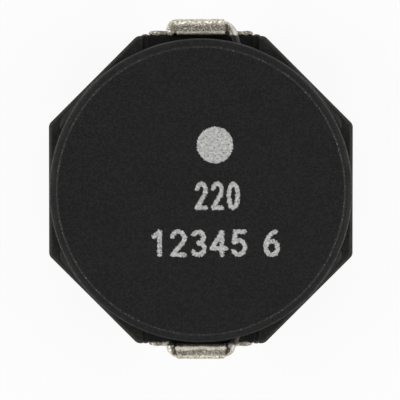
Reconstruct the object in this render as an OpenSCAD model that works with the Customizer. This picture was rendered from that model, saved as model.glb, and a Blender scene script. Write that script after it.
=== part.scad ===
// Shielded drum-core power inductor for surface mounting.
// A ferrite drum carries a winding of enamelled copper wire and is closed by an octagonal ferrite ring.
// The wide flange of the drum is bonded on top of the ring, and both wire ends leave through notches
// in the ring's top edge into the folded tongues of two tinned strip clips.
// Sizes in millimetres. Z is up, the feet of the clips stand on Z = 0, and the clips face -Y and +Y.

/* [Shield ring] */
// Width of the ring across its left and right flats
shield_width_x = 12.14; // [11.8:0.02:12.6]
// Width of the ring across its front and back flats, which carry the clips
shield_width_y = 12.3; // [12:0.02:12.8]
// Width of the ring across its four diagonal flats
shield_width_diagonal = 12.3; // [12:0.02:12.6]
// Diameter that the eight worn corners of the ring fit into
shield_corner_d = 13.2; // [13.1:0.02:13.3]
// Height of the ring
shield_h = 4.7; // [4.4:0.1:6.4]
// Diameter of the ring's bore
shield_bore_d = 10.1; // [9.8:0.05:10.4]
// Chamfer on the ring's outer and inner edges
shield_chamfer = 0.12; // [0.04:0.01:0.16]
// Width of each wire notch
notch_w = 4.65; // [4.1:0.05:4.8]
// Depth of each wire notch below the ring's top face
notch_depth = 1.2; // [1.1:0.05:1.5]
// Radius in the bottom corners of each wire notch
notch_r = 0.25; // [0.1:0.05:0.4]

/* [Drum core] */
// Diameter of the wide top flange
flange_d = 12.1; // [11.8:0.02:12.14]
// Thickness of the wide top flange
flange_t = 1.1; // [0.9:0.05:1.6]
// Depth and width of the chamfer round both end faces
rim_chamfer = 0.15; // [0.08:0.01:0.25]
// Width of the flat land outside the top face's chamfer
rim_land = 0.19; // [0.06:0.01:0.25]
// Clearance of the bottom flange in the ring's bore, on the radius
base_clearance = 0.15; // [0.05:0.01:0.4]
// Thickness of the bottom flange
base_flange_t = 0.8; // [0.7:0.05:1.2]
// Height of the bottom flange above the underside of the ring
base_recess = 0.1; // [0.05:0.05:0.3]
// Diameter of the post that carries the winding
post_d = 6; // [5.4:0.1:6.4]
// Radius where the post meets the flanges
post_root_r = 0.06; // [0.02:0.01:0.08]

/* [Winding] */
// Diameter of the enamelled wire
wire_d = 0.38; // [0.3:0.02:0.46]
// Clearance between neighbouring turns of a layer
turn_gap = 0.02; // [0.01:0.01:0.08]
// Clearance between the two layers
layer_gap = 0.05; // [0.04:0.01:0.1]
// Clearance of the winding from the post and the flanges
winding_gap = 0.06; // [0.05:0.01:0.1]
// Height of the wire's underside above the floor of the notch
lead_lift = 0.3; // [0.2:0.05:0.4]
// Bend radius of the back lead's elbow, along the middle of the wire
elbow_r_back = 0.33; // [0.26:0.01:0.6]
// Bend radius of the front lead's elbow, along the middle of the wire
elbow_r_front = 0.26; // [0.26:0.01:0.6]
// Bend radius of the cut ends, which curl back beside the tongues
tail_r = 0.24; // [0.24:0.01:0.35]

/* [Terminal clips] */
// Thickness of the tinned strip
strip_t = 0.12; // [0.1:0.01:0.16]
// Width of each clip
clip_w = 4.2; // [3.8:0.05:4.8]
// Length of each foot under the body, from the outer face of the riser
foot_l = 2.3; // [1.6:0.1:3]
// Drop of the riser's shoulders below the floor of the notch
shoulder_drop = 0.06; // [0:0.02:0.6]
// Radius of the riser's shoulders
shoulder_r = 0.3; // [0.1:0.05:0.5]
// Inside radius of the bend between foot and riser
foot_bend_r = 0.1; // [0.05:0.01:0.14]
// Width of the tongue that is folded over the wire
tongue_w = 1.9; // [1.6:0.05:2.1]
// Radius of the tongue's free corners
tongue_tip_r = 0.2; // [0.05:0.05:0.3]
// Length of the tongue's free end below the axis of its fold
tongue_tip_l = 0.34; // [0.2:0.02:0.4]
// Solder gap between the wire and the inside of the fold
fold_gap = 0.01; // [0.01:0.01:0.06]

/* [Bonding] */
// Thickness of the adhesive between the clips and the ring
clip_glue_t = 0.04; // [0.01:0.01:0.05]
// Thickness of the epoxy between the ring and the wide flange
seat_glue_t = 0.04; // [0.02:0.01:0.1]
// Direction of the middle of each epoxy bead, in degrees from the nearer X side
bead_angle = 38; // [34:1:45]
// Arc that each epoxy bead covers, in degrees
bead_arc = 28; // [20:1:34]
// Height to which each bead climbs the flange's rim
bead_h = 0.35; // [0.2:0.05:0.7]
// Width of each bead outside the flange's rim
bead_w = 0.1; // [0.06:0.01:0.14]

/* [Hidden] */
$fn = 96;

// Overlap that carries a cutter through the face it opens
cut = 0.5;
// Sides of the wire's section and rings along one turn
wire_sides = 8;
rings_per_turn = 24;
// Rings along each elbow, along each curled end and along each run from elbow to winding
elbow_rings = 8;
tail_rings = 4;
run_rings = 8;
// Angle over which the wire climbs from the inner to the outer layer
layer_change = 90;

// Levels
shield_z = strip_t + clip_glue_t;
shield_top_z = shield_z + shield_h;
notch_floor_z = shield_top_z - notch_depth;
flange_z = shield_top_z + seat_glue_t;
total_h = flange_z + flange_t;
base_z = shield_z + base_recess;
window_z = base_z + base_flange_t;
shoulder_z = notch_floor_z - shoulder_drop;

// Riser of a clip: its inner face, and the axis of the fold at its top
riser_y = shield_width_y / 2 + clip_glue_t;
fold_r = wire_d / 2 + fold_gap;
fold_y = riser_y + strip_t + fold_r;
lead_z = notch_floor_z + lead_lift + wire_d / 2;
foot_r = foot_bend_r + strip_t;

// Winding
wire_r = wire_d / 2;
layer_1_r = post_d / 2 + winding_gap + wire_r;
layer_2_r = layer_1_r + wire_d + layer_gap;
window_h = flange_z - window_z - wire_d - 2 * winding_gap;
turns = floor(window_h / (wire_d + turn_gap));
pitch = window_h / turns;
winding_top_z = flange_z - winding_gap - wire_r;
winding_low_z = window_z + winding_gap + wire_r;

function ease(t) = t * t * (3 - 2 * t);
function settle(t) = t * (2 - t);
function unit(v) = v / norm(v);
function on_layer(r, a, z) = [r * cos(a), r * sin(a), z];
function mirror_y(path) = [for (p = path) [p[0], -p[1], p[2]]];
function reverse(path) = [for (i = [len(path) - 1:-1:0]) path[i]];

// Stretch of wire round the level circle of radius r about c, from one angle to the other
function bend(c, r, from, to, rings) =
    [for (i = [0:rings], a = [from + (to - from) * i / rings]) c + [r * cos(a), r * sin(a), 0]];

// Angle on the layer at which a wire arrives that leaves the elbow of radius r, both passed clockwise
function arrival(r, layer_r) =
    let (c = [tongue_w / 2, fold_y - r])
    atan2(-c[1], -c[0]) + asin((layer_r - r) / norm(c)) + 90;

// Lead from its cut end to the winding, for the clip on the +Y side. The end curls back beside the
// tongue, the wire runs through the fold, turns at the elbow and goes straight to its layer.
function lead(elbow_r, layer_r, layer_z) =
    let (
        a = arrival(elbow_r, layer_r),
        tail = bend([-tongue_w / 2, fold_y - tail_r, lead_z], tail_r, 180, 90, tail_rings),
        elbow = bend([tongue_w / 2, fold_y - elbow_r, lead_z], elbow_r, 90, a, elbow_rings),
        from = elbow[elbow_rings],
        to = on_layer(layer_r, a, layer_z),
        run = [for (i = [1:run_rings - 1], t = [i / run_rings])
            [from[0] + (to[0] - from[0]) * t, from[1] + (to[1] - from[1]) * t,
             from[2] + (to[2] - from[2]) * settle(t)]]
    )
    concat(tail, elbow, run);

// Angles at which the wire joins the inner layer and leaves the outer one, and what the outer layer covers
join_a = arrival(elbow_r_back, layer_1_r);
leave_a = -arrival(elbow_r_front, layer_2_r);
outer_part = join_a - layer_change - leave_a;
outer_sweep = outer_part - 360 * floor(outer_part / 360) + 360 * (turns - 2);
outer_rings = ceil(outer_sweep * rings_per_turn / 360);
outer_top_z = winding_low_z + pitch * outer_sweep / 360;
change_rings = rings_per_turn * layer_change / 360;

// The wire from end to end: down the post in the inner layer and up again in the outer one
wire_path = concat(
    lead(elbow_r_back, layer_1_r, winding_top_z),
    [for (i = [0:turns * rings_per_turn], t = [i / rings_per_turn])
        on_layer(layer_1_r, join_a - 360 * t, winding_top_z - pitch * t)],
    [for (i = [1:change_rings - 1], t = [i / change_rings])
        on_layer(layer_1_r + (layer_2_r - layer_1_r) * ease(t), join_a - layer_change * t, winding_low_z)],
    [for (i = [0:outer_rings], t = [i / outer_rings])
        on_layer(layer_2_r, join_a - layer_change - outer_sweep * t,
            winding_low_z + (outer_top_z - winding_low_z) * t)],
    reverse(mirror_y(lead(elbow_r_front, layer_2_r, outer_top_z)))
);

// Round bar of radius r swept along a path that stays close to level
module sweep(path, r, sides) {
    n = len(path);
    heading = [for (i = [0:n - 1]) unit(path[min(i + 1, n - 1)] - path[max(i - 1, 0)])];
    points = [for (i = [0:n - 1])
        let (side = unit(cross([0, 0, 1], heading[i])), up = cross(heading[i], side))
        for (k = [0:sides - 1], a = [360 * (k + 0.5) / sides])
            path[i] + r * (cos(a) * side + sin(a) * up)];
    walls = [for (i = [0:n - 2], k = [0:sides - 1])
        let (a = i * sides + k, b = i * sides + (k + 1) % sides)
        for (f = [[a, a + sides, b], [b, a + sides, b + sides]]) f];
    first = [for (k = [0:sides - 1]) k];
    last = [for (k = [sides - 1:-1:0]) (n - 1) * sides + k];
    polyhedron(points, concat(walls, [first, last]), convexity = 10);
}

// Bar along Y with the section of the ring across one pair of flats, edges chamfered
module flat_pair(width) {
    half = width / 2;
    c = shield_chamfer;
    rotate([90, 0, 0])
        linear_extrude(2 * shield_corner_d, center = true)
            polygon([[-half + c, 0], [half - c, 0], [half, c], [half, shield_h - c],
                [half - c, shield_h], [-half + c, shield_h], [-half, shield_h - c], [-half, c]]);
}

// Round blank that wears the eight corners of the ring
module corner_blank() {
    r = shield_corner_d / 2;
    c = shield_chamfer;
    rotate_extrude()
        polygon([[0, 0], [r - c, 0], [r, c], [r, shield_h - c], [r - c, shield_h], [0, shield_h]]);
}

// Bore of the ring, opened by a chamfer at both ends
module shield_bore() {
    r = shield_bore_d / 2;
    c = shield_chamfer;
    rotate_extrude()
        polygon([[0, -cut], [r + c + cut, -cut], [r, c], [r, shield_h - c],
            [r + c + cut, shield_h + cut], [0, shield_h + cut]]);
}

// Wire notch through one wall of the ring, with round bottom corners
module wire_notch() {
    translate([0, shield_bore_d / 4, shield_h - notch_depth])
        rotate([90, 0, 180])
            linear_extrude(shield_width_y / 2) {
                translate([-notch_w / 2, notch_r])
                    square([notch_w, notch_depth + cut]);
                translate([-notch_w / 2 + notch_r, 0])
                    square([notch_w - 2 * notch_r, notch_r + cut]);
                for (side = [-1, 1])
                    translate([side * (notch_w / 2 - notch_r), notch_r])
                        circle(notch_r);
            }
}

module shield_ring() {
    color([0.16, 0.16, 0.145])
        translate([0, 0, shield_z])
            difference() {
                intersection() {
                    flat_pair(shield_width_x);
                    rotate(90)
                        flat_pair(shield_width_y);
                    rotate(45)
                        flat_pair(shield_width_diagonal);
                    rotate(-45)
                        flat_pair(shield_width_diagonal);
                    corner_blank();
                }
                shield_bore();
                wire_notch();
                rotate(180)
                    wire_notch();
            }
}

// Quarter fillet in the corner between the post and a flange, as a profile beside the point [0, 0]
module root_fillet() {
    difference() {
        square(post_root_r);
        translate([post_root_r, post_root_r])
            circle(post_root_r);
    }
}

module drum_core() {
    post = post_d / 2;
    base = shield_bore_d / 2 - base_clearance;
    rim = flange_d / 2;
    land = rim - rim_land;
    face = land - rim_chamfer;
    color([0.15, 0.15, 0.155])
        rotate_extrude() {
            polygon([
                [0, base_z], [base - rim_chamfer, base_z], [base, base_z + rim_chamfer], [base, window_z],
                [post, window_z], [post, flange_z], [rim, flange_z],
                [rim, total_h - rim_chamfer], [land, total_h - rim_chamfer], [face, total_h], [0, total_h]]);
            translate([post, window_z])
                root_fillet();
            translate([post, flange_z])
                mirror([0, 1])
                    root_fillet();
        }
}

module winding() {
    color([0.72, 0.36, 0.16])
        sweep(wire_path, wire_r, wire_sides);
}

// Section of a clip at its tongue, out along X and up along Y: foot, bend, riser, fold and free end
module foot_section() {
    translate([riser_y + strip_t - foot_l, 0])
        square([foot_l - foot_r, strip_t]);
    translate([riser_y + strip_t - foot_r, foot_r])
        intersection() {
            difference() {
                circle(foot_r);
                circle(foot_bend_r);
            }
            translate([0, -2 * foot_r])
                square(2 * foot_r);
        }
}

module fold_section() {
    translate([riser_y, shoulder_z - shoulder_r])
        square([strip_t, lead_z - shoulder_z + shoulder_r]);
    translate([fold_y, lead_z])
        intersection() {
            difference() {
                circle(fold_r + strip_t);
                circle(fold_r);
            }
            translate([-2 * fold_y, 0])
                square(4 * fold_y);
        }
    translate([fold_y + fold_r, lead_z - tongue_tip_l])
        square([strip_t, tongue_tip_l]);
}

// Plate with two round shoulders, from the top of the foot bend to the shoulders
module riser_outline() {
    w = clip_w / 2;
    translate([-w, foot_r])
        square([clip_w, shoulder_z - shoulder_r - foot_r]);
    translate([-w + shoulder_r, foot_r])
        square([clip_w - 2 * shoulder_r, shoulder_z - foot_r]);
    for (side = [-1, 1])
        translate([side * (w - shoulder_r), shoulder_z - shoulder_r])
            circle(shoulder_r);
}

// Cutter that rounds the two free corners of the tongue's outer leg
module tip_corners() {
    low = lead_z - tongue_tip_l;
    r = tongue_tip_r;
    translate([0, fold_y + fold_r + strip_t + cut, 0])
        rotate([90, 0, 0])
            linear_extrude(strip_t + fold_r + cut)
                for (side = [0, 1])
                    mirror([side, 0])
                        translate([tongue_w / 2 - r, low + r])
                            difference() {
                                translate([0, -r - cut])
                                    square(r + cut);
                                circle(r);
                            }
}

// Extrudes a section, drawn out and up, along X and centred on it
module along_x(width) {
    rotate([90, 0, 90])
        linear_extrude(width, center = true)
            children();
}

// Clip for the +Y side
module terminal() {
    along_x(clip_w)
        foot_section();
    translate([0, riser_y + strip_t, 0])
        rotate([90, 0, 0])
            linear_extrude(strip_t)
                riser_outline();
    difference() {
        along_x(tongue_w)
            fold_section();
        tip_corners();
    }
}

module terminal_back() {
    color([0.72, 0.69, 0.62])
        terminal();
}

module terminal_front() {
    color([0.72, 0.69, 0.62])
        mirror([0, 1, 0])
            terminal();
}

// Solder between the tongue and the wire, for the +Y side
module solder() {
    along_x(tongue_w)
        difference() {
            union() {
                translate([fold_y, lead_z])
                    circle(fold_r);
                translate([fold_y - fold_r, lead_z - tongue_tip_l + tongue_tip_r])
                    square([2 * fold_r, tongue_tip_l - tongue_tip_r]);
            }
            translate([fold_y, lead_z])
                circle(wire_r);
        }
}

module solder_back() {
    color([0.78, 0.76, 0.7])
        solder();
}

module solder_front() {
    color([0.78, 0.76, 0.7])
        mirror([0, 1, 0])
            solder();
}

// Film of adhesive behind the riser and over the foot, for the +Y side, clear of the ring's chamfer
module clip_glue() {
    edge = shield_chamfer + 0.1;
    half_w = clip_w / 2 - edge;
    translate([-half_w, riser_y - clip_glue_t, shield_z + edge])
        cube([2 * half_w, clip_glue_t, notch_floor_z - shield_z - 2 * edge]);
    translate([-half_w, shield_bore_d / 2 + edge, strip_t])
        cube([2 * half_w, (shield_width_y - shield_bore_d) / 2 - 2 * edge, clip_glue_t]);
}

module clip_glue_back() {
    color([0.8, 0.74, 0.6])
        clip_glue();
}

module clip_glue_front() {
    color([0.8, 0.74, 0.6])
        mirror([0, 1, 0])
            clip_glue();
}

// Epoxy bead round the angle a: a film under the flange, and a fillet outside that climbs its rim
module bead(a) {
    rim = flange_d / 2;
    inner = shield_bore_d / 2 + 2 * shield_chamfer;
    color([0.62, 0.6, 0.58])
        rotate(a - bead_arc / 2)
            rotate_extrude(angle = bead_arc)
                polygon([[inner, shield_top_z], [rim + bead_w, shield_top_z], [rim, flange_z + bead_h],
                    [rim, flange_z], [inner, flange_z]]);
}

module bead_front_right() bead(-bead_angle);
module bead_back_right() bead(bead_angle);
module bead_back_left() bead(180 - bead_angle);
module bead_front_left() bead(180 + bead_angle);

drum_core();
shield_ring();
winding();
terminal_front();
terminal_back();
solder_front();
solder_back();
clip_glue_front();
clip_glue_back();
bead_front_right();
bead_back_right();
bead_back_left();
bead_front_left();
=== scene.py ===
"""Visual model of a shielded drum-core inductor for surface mounting, dressed on its CAD frame."""
import logging
import math
from collections.abc import Callable, Iterable, Sequence
from dataclasses import dataclass, field
from enum import Enum

import bpy
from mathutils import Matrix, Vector


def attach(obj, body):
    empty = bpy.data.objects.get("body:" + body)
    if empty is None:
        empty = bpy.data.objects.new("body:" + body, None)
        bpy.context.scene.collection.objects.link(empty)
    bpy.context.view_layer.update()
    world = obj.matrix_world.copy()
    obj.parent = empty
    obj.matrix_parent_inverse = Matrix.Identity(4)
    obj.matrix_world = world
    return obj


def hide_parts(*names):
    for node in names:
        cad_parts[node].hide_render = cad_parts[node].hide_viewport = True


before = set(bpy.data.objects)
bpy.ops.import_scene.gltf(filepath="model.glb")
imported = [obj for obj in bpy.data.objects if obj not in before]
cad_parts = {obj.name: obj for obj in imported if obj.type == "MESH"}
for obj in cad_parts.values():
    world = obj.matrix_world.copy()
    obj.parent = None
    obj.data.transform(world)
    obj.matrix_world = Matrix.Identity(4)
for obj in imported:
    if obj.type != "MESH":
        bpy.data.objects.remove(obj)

LOG = logging.getLogger("inductor")
MM = 0.001
SEAM_GAP = 0.0005  # points closer than this are one
TOUCH = 0.001  # places closer than this are the same
ALONG = 0.9  # an edge runs along an axis from this cosine on
Piece = bpy.types.Object
Point = tuple[float, float, float]
Colour = tuple[float, float, float]
Spot = tuple[float, float, float, float]  # a point and the radius there
Segment = tuple[float, float, float, float]
Line = list[tuple[float, float]]


class End(Enum):
    """The two ends of the part that carry a clip."""

    BACK = 1
    FRONT = -1

    @property
    def word(self) -> str:
        """Name of the end as the CAD nodes spell it."""
        return self.name.lower()


# ---------------------------------------------------------------- shader maths


class Signal:
    """One output socket of a shader graph, with the arithmetic that the finishes are written in."""

    def __init__(self, graph: "Graph", socket: bpy.types.NodeSocket) -> None:
        """Wraps a socket of the graph."""
        self.graph = graph
        self.socket = socket

    def out(self, name: str) -> "Signal":
        """Another output of the same node."""
        return Signal(self.graph, self.socket.node.outputs[name])

    def __add__(self, other: "Signal | float") -> "Signal":
        """Sum."""
        return self.graph.math("ADD", self, other)

    __radd__ = __add__

    def __sub__(self, other: "Signal | float") -> "Signal":
        """Difference."""
        return self.graph.math("SUBTRACT", self, other)

    def __rsub__(self, other: float) -> "Signal":
        """Difference with the number first."""
        return self.graph.math("SUBTRACT", other, self)

    def __mul__(self, other: "Signal | float") -> "Signal":
        """Product."""
        return self.graph.math("MULTIPLY", self, other)

    __rmul__ = __mul__

    def __truediv__(self, other: "Signal | float") -> "Signal":
        """Quotient."""
        return self.graph.math("DIVIDE", self, other)

    def __pow__(self, other: "Signal | float") -> "Signal":
        """Power."""
        return self.graph.math("POWER", self, other)

    def __abs__(self) -> "Signal":
        """Size without the sign."""
        return self.graph.math("ABSOLUTE", self)

    def least(self, other: "Signal | float") -> "Signal":
        """The smaller of two values."""
        return self.graph.math("MINIMUM", self, other)

    def most(self, other: "Signal | float") -> "Signal":
        """The larger of two values."""
        return self.graph.math("MAXIMUM", self, other)

    def rise(self, low: float, high: float) -> "Signal":
        """Smooth step.

        Args:
            low: Value at which the step is still 0.
            high: Value from which the step is 1; a high below low gives a falling step.

        Returns:
            A mask from 0 to 1.
        """
        step = self.graph.add(
            "ShaderNodeMapRange",
            {"interpolation_type": "SMOOTHSTEP"},
            {"Value": self, "From Min": min(low, high), "From Max": max(low, high)},
            "Result",
        )
        return 1.0 - step if high < low else step

    def near(self, middle: "Signal | float", reach: float, core: float) -> "Signal":
        """Mask of the values round a middle: 1 within the core, 0 past the reach."""
        return abs(self - middle).rise(reach, core)


class Graph:
    """Node tree of one material or of the world."""

    def __init__(self, owner: bpy.types.Material | bpy.types.World) -> None:
        """Empties the owner's tree and takes it over.

        Args:
            owner: Material or world whose tree it is.
        """
        owner.use_nodes = True
        self.tree = owner.node_tree
        self.tree.nodes.clear()

    def add(
        self,
        kind: str,
        settings: dict[str, object],
        inputs: dict[str, object],
        output: str | int = 0,
    ) -> Signal:
        """Adds one node.

        Args:
            kind: Blender's node type.
            settings: Properties of the node, set first.
            inputs: Values or signals by socket name or identifier.
            output: Name, identifier or number of the socket to hand back.

        Returns:
            The chosen output.
        """
        node = self.tree.nodes.new(kind)
        for name, value in settings.items():
            setattr(node, name, value)
        for name, value in inputs.items():
            socket = self._socket(node.inputs, name)
            if isinstance(value, Signal):
                self.tree.links.new(value.socket, socket)
            else:
                socket.default_value = value
        return Signal(self, self._socket(node.outputs, output))

    @staticmethod
    def _socket(sockets: Iterable[bpy.types.NodeSocket], key: str | int) -> bpy.types.NodeSocket:
        """Finds a socket by number, identifier or name.

        Args:
            sockets: Inputs or outputs of a node.
            key: Number, identifier or name.

        Returns:
            The socket.
        """
        if isinstance(key, int):
            return list(sockets)[key]
        for socket in sockets:
            if socket.identifier == key:
                return socket
        return next(socket for socket in sockets if socket.name == key)

    def math(self, operation: str, *values: Signal | float) -> Signal:
        """Adds one Math node on one or two values, in their order."""
        inputs = dict(zip(("Value", "Value_001"), values))
        return self.add("ShaderNodeMath", {"operation": operation}, inputs, "Value")

    def place(self, stretch: Point = (1.0, 1.0, 1.0)) -> Signal:
        """Object coordinates in millimetres, stretched where a pattern is drawn out.

        Args:
            stretch: Factor along each axis.

        Returns:
            The coordinates as a vector.
        """
        coords = self.add("ShaderNodeTexCoord", {}, {}, "Object")
        factors = tuple(share / MM for share in stretch)
        inputs = {"Vector": coords, "Scale": factors}
        return self.add("ShaderNodeMapping", {"vector_type": "POINT"}, inputs)

    def axes(self, vector: Signal) -> tuple[Signal, Signal, Signal]:
        """Splits a vector into x, y and z."""
        x = self.add("ShaderNodeSeparateXYZ", {}, {"Vector": vector}, "X")
        return x, x.out("Y"), x.out("Z")

    def noise(
        self, vector: Signal, scale: float, detail: float = 2.0, roughness: float = 0.5
    ) -> Signal:
        """Noise from 0 to 1.

        Args:
            vector: Coordinates in millimetres.
            scale: Grains to the millimetre.
            detail: Layers of finer grain.
            roughness: Share of each finer layer.

        Returns:
            The noise.
        """
        inputs = {"Vector": vector, "Scale": scale, "Detail": detail, "Roughness": roughness}
        return self.add("ShaderNodeTexNoise", {"noise_dimensions": "3D"}, inputs, "Fac")

    def cells(self, vector: Signal, scale: float) -> Signal:
        """Distance to the nearest of scattered points, in cells."""
        inputs = {"Vector": vector, "Scale": scale}
        return self.add("ShaderNodeTexVoronoi", {"feature": "F1"}, inputs, "Distance")

    def blend(self, mask: Signal, low: Signal | Colour, high: Signal | Colour) -> Signal:
        """Colour that goes from low to high with the mask.

        Args:
            mask: Share of the high colour.
            low: Colour where the mask is 0.
            high: Colour where the mask is 1.

        Returns:
            The colour.
        """
        first, second = (c if isinstance(c, Signal) else (*c, 1.0) for c in (low, high))
        return self.add(
            "ShaderNodeMix",
            {"data_type": "RGBA", "clamp_factor": True},
            {"Factor_Float": mask, "A_Color": first, "B_Color": second},
            "Result_Color",
        )

    def slide(self, mask: Signal, low: Signal | float, high: Signal | float) -> Signal:
        """Number that goes from low to high with the mask."""
        inputs = {"Factor_Float": mask, "A_Float": low, "B_Float": high}
        return self.add("ShaderNodeMix", {"data_type": "FLOAT"}, inputs, "Result_Float")

    def relief(self, height: Signal, depth_mm: float, strength: float) -> Signal:
        """Bump from a height between 0 and 1 that is worth so many millimetres."""
        inputs = {"Height": height, "Distance": depth_mm * MM, "Strength": strength}
        return self.add("ShaderNodeBump", {}, inputs, "Normal")

    def surface(self, **sockets: Signal | float | tuple) -> None:
        """Ends the tree in a Principled shader.

        Args:
            sockets: Values by socket name, with spaces written as underscores.
        """
        named = {name.replace("_", " "): value for name, value in sockets.items()}
        self.end(self.add("ShaderNodeBsdfPrincipled", {}, named, "BSDF"))

    def end(self, shader: Signal, kind: str = "ShaderNodeOutputMaterial") -> None:
        """Joins a shader to the output node."""
        self.tree.links.new(shader.socket, self.tree.nodes.new(kind).inputs["Surface"])


# ---------------------------------------------------------------- finishes


@dataclass(frozen=True)
class Finish:
    """A finish: a name and the way its material is made."""

    name: str

    def material(self) -> bpy.types.Material:
        """Makes the material, or hands back the one already made.

        Returns:
            The material.
        """
        found = bpy.data.materials.get(self.name)
        if found is None:
            found = bpy.data.materials.new(self.name)
            self.draw(Graph(found))
        return found

    def draw(self, graph: Graph) -> None:
        """Draws the node tree."""
        raise NotImplementedError

    def dress(self, piece: Piece) -> None:
        """Gives the piece this finish all over.

        Args:
            piece: The piece to dress.
        """
        slots = piece.data.materials
        if len(slots):
            slots[0] = self.material()
        else:
            slots.append(self.material())


@dataclass(frozen=True)
class DrumFerrite(Finish):
    """Ground black ferrite of the drum, with its printed marks, the haze left by the epoxy, an
    olive tint on the chamfer towards the ±X sides and painted highlights along its edges.
    """

    face_r: float = 5.71
    land_r: float = 5.86
    rim_r: float = 6.0
    face_z: float = 5.93
    land_z: float = 5.85
    bead_angle: float = 38.0
    bead_half_arc: float = 16.0
    pore: Colour = (0.0028, 0.0028, 0.0029)
    grit: Colour = (0.0121, 0.0121, 0.0123)
    ground: Colour = (0.020, 0.0198, 0.0192)
    rubbed_and_highlit: Colour = (0.026, 0.026, 0.025)
    olive_tint: Colour = (0.040, 0.037, 0.028)
    hazed: Colour = (0.050, 0.048, 0.047)
    wear_and_painted_light: Colour = (0.088, 0.086, 0.083)
    chipped_and_glinting: Colour = (0.30, 0.30, 0.29)
    thin_ink: Colour = (0.33, 0.33, 0.32)
    full_ink: Colour = (0.60, 0.60, 0.585)

    def draw(self, graph: Graph) -> None:
        """Draws the node tree.

        Args:
            graph: Empty tree of the material.
        """
        mm = graph.place()
        x, y, z = graph.axes(mm)
        r = (x * x + y * y) ** 0.5
        grain = graph.noise(mm, 11.0, 3.0, 0.55)
        fleck = graph.noise(mm, 5.2, 2.0, 0.6)
        cloud = graph.noise(mm, 0.9)
        tone = grain * 0.62 + fleck * 0.28 + cloud * 0.10
        body = graph.blend(tone.rise(0.40, 0.62), self.pore, self.grit)
        wall = z.rise(self.land_z, self.land_z - 0.1)
        turned = graph.noise(graph.place((0.35, 0.35, 7.0)), 1.0, 4.0, 0.65)
        body = graph.blend(turned.rise(0.46, 0.66) * wall * 0.6, body, self.ground)
        side = (abs(x) / (r + 0.01)) ** 1.6
        land = r.rise(self.land_r - 0.02, self.land_r + 0.03) * z.near(self.land_z, 0.08, 0.03)
        # The land is paler, and paler still towards the ±X sides: that extra part is a painted
        # highlight where the light falls on the rim.
        body = graph.blend(land * (side * 0.36 + 0.18), body, self.rubbed_and_highlit)
        # An olive tint on the chamfer band, strongest towards the ±X sides, on the lighter clouds
        # of the noise.
        film = side**6.0 * r.rise(self.face_r + 0.06, self.land_r + 0.04)
        film = film * z.rise(self.land_z - 0.15, self.land_z - 0.07) * cloud.rise(0.36, 0.56)
        body = graph.blend(film * 0.5, body, self.olive_tint)
        angle = graph.math("ARCTAN2", abs(y), abs(x)) * (180.0 / math.pi)
        haze = angle.near(self.bead_angle, self.bead_half_arc, self.bead_half_arc * 0.35)
        haze = haze * graph.noise(mm, 1.7, 3.0, 0.6).rise(0.42, 0.68)
        haze = haze * r.rise(self.rim_r - 0.16, self.rim_r - 0.02)
        haze = haze * (z.rise(5.5, 5.1) * 0.7 + land * 0.3)
        body = graph.blend(haze * 0.55, body, self.hazed)
        top = z.rise(self.face_z - 0.02, self.face_z)
        # Painted highlight along the face's rounded edge and the flange's outer rim: stronger
        # towards the ±X sides and fainter towards +Y, as the light falls; scuff noise breaks it up
        # as wear would.
        edge = r.near(self.face_r - 0.005, 0.055, 0.012) * top
        rim = r.near(self.rim_r, 0.06, 0.02) * z.near(self.land_z, 0.09, 0.03)
        rim = rim * (side * 0.68 + 0.08) * (1.0 - y * 0.035)
        scuff = graph.noise(mm, 6.0, 3.0, 0.7).rise(0.30, 0.62)
        wear_and_painted_light = (edge * (side * 0.20 + 0.16) + rim) * (scuff * 0.85 + 0.15)
        body = graph.blend(wear_and_painted_light.least(1.0), body, self.wear_and_painted_light)
        # Pale chips along the edges; on the rim they follow the painted highlight, so towards the
        # ±X sides they are painted glints as much as chips.
        chips_and_glints = graph.noise(mm, 19.0, 2.0, 0.6).rise(0.60, 0.70) * (edge * 0.8 + rim * 0.5)
        body = graph.blend(chips_and_glints.least(0.8), body, self.chipped_and_glinting)
        ink, inked = self._ink(graph, mm)
        bare_rough = graph.slide(haze, 0.62 + tone * 0.16, 0.34)
        graph.surface(
            Base_Color=graph.blend(inked, body, ink),
            Roughness=graph.slide(inked, bare_rough, 0.58),
            Specular_IOR_Level=0.20,
            Normal=graph.relief(grain * 0.7 + fleck * 0.3 + inked * 0.35, 0.010, 0.8),
        )

    def _ink(self, graph: Graph, mm: Signal) -> tuple[Signal, Signal]:
        """Colour of the print and the mask of where it holds.

        Args:
            graph: Tree that takes the nodes.
            mm: Coordinates in millimetres.

        Returns:
            The colour and the mask.
        """
        edge = graph.add("ShaderNodeAttribute", {"attribute_name": "print_edge"}, {}, "Fac")
        ragged = (graph.noise(mm, 12.0, 3.0, 0.6) - 0.5) * 0.18
        torn = (graph.noise(mm, 20.0, 2.0, 0.6) - 0.5) * 0.10
        inside = (edge + ragged + torn).rise(0.010, -0.018)
        voids = graph.noise(mm, 16.0).rise(0.29, 0.41)
        shade = graph.noise(mm, 9.0, 3.0, 0.6)
        return graph.blend(shade.rise(0.30, 0.68), self.thin_ink, self.full_ink), inside * voids


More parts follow.
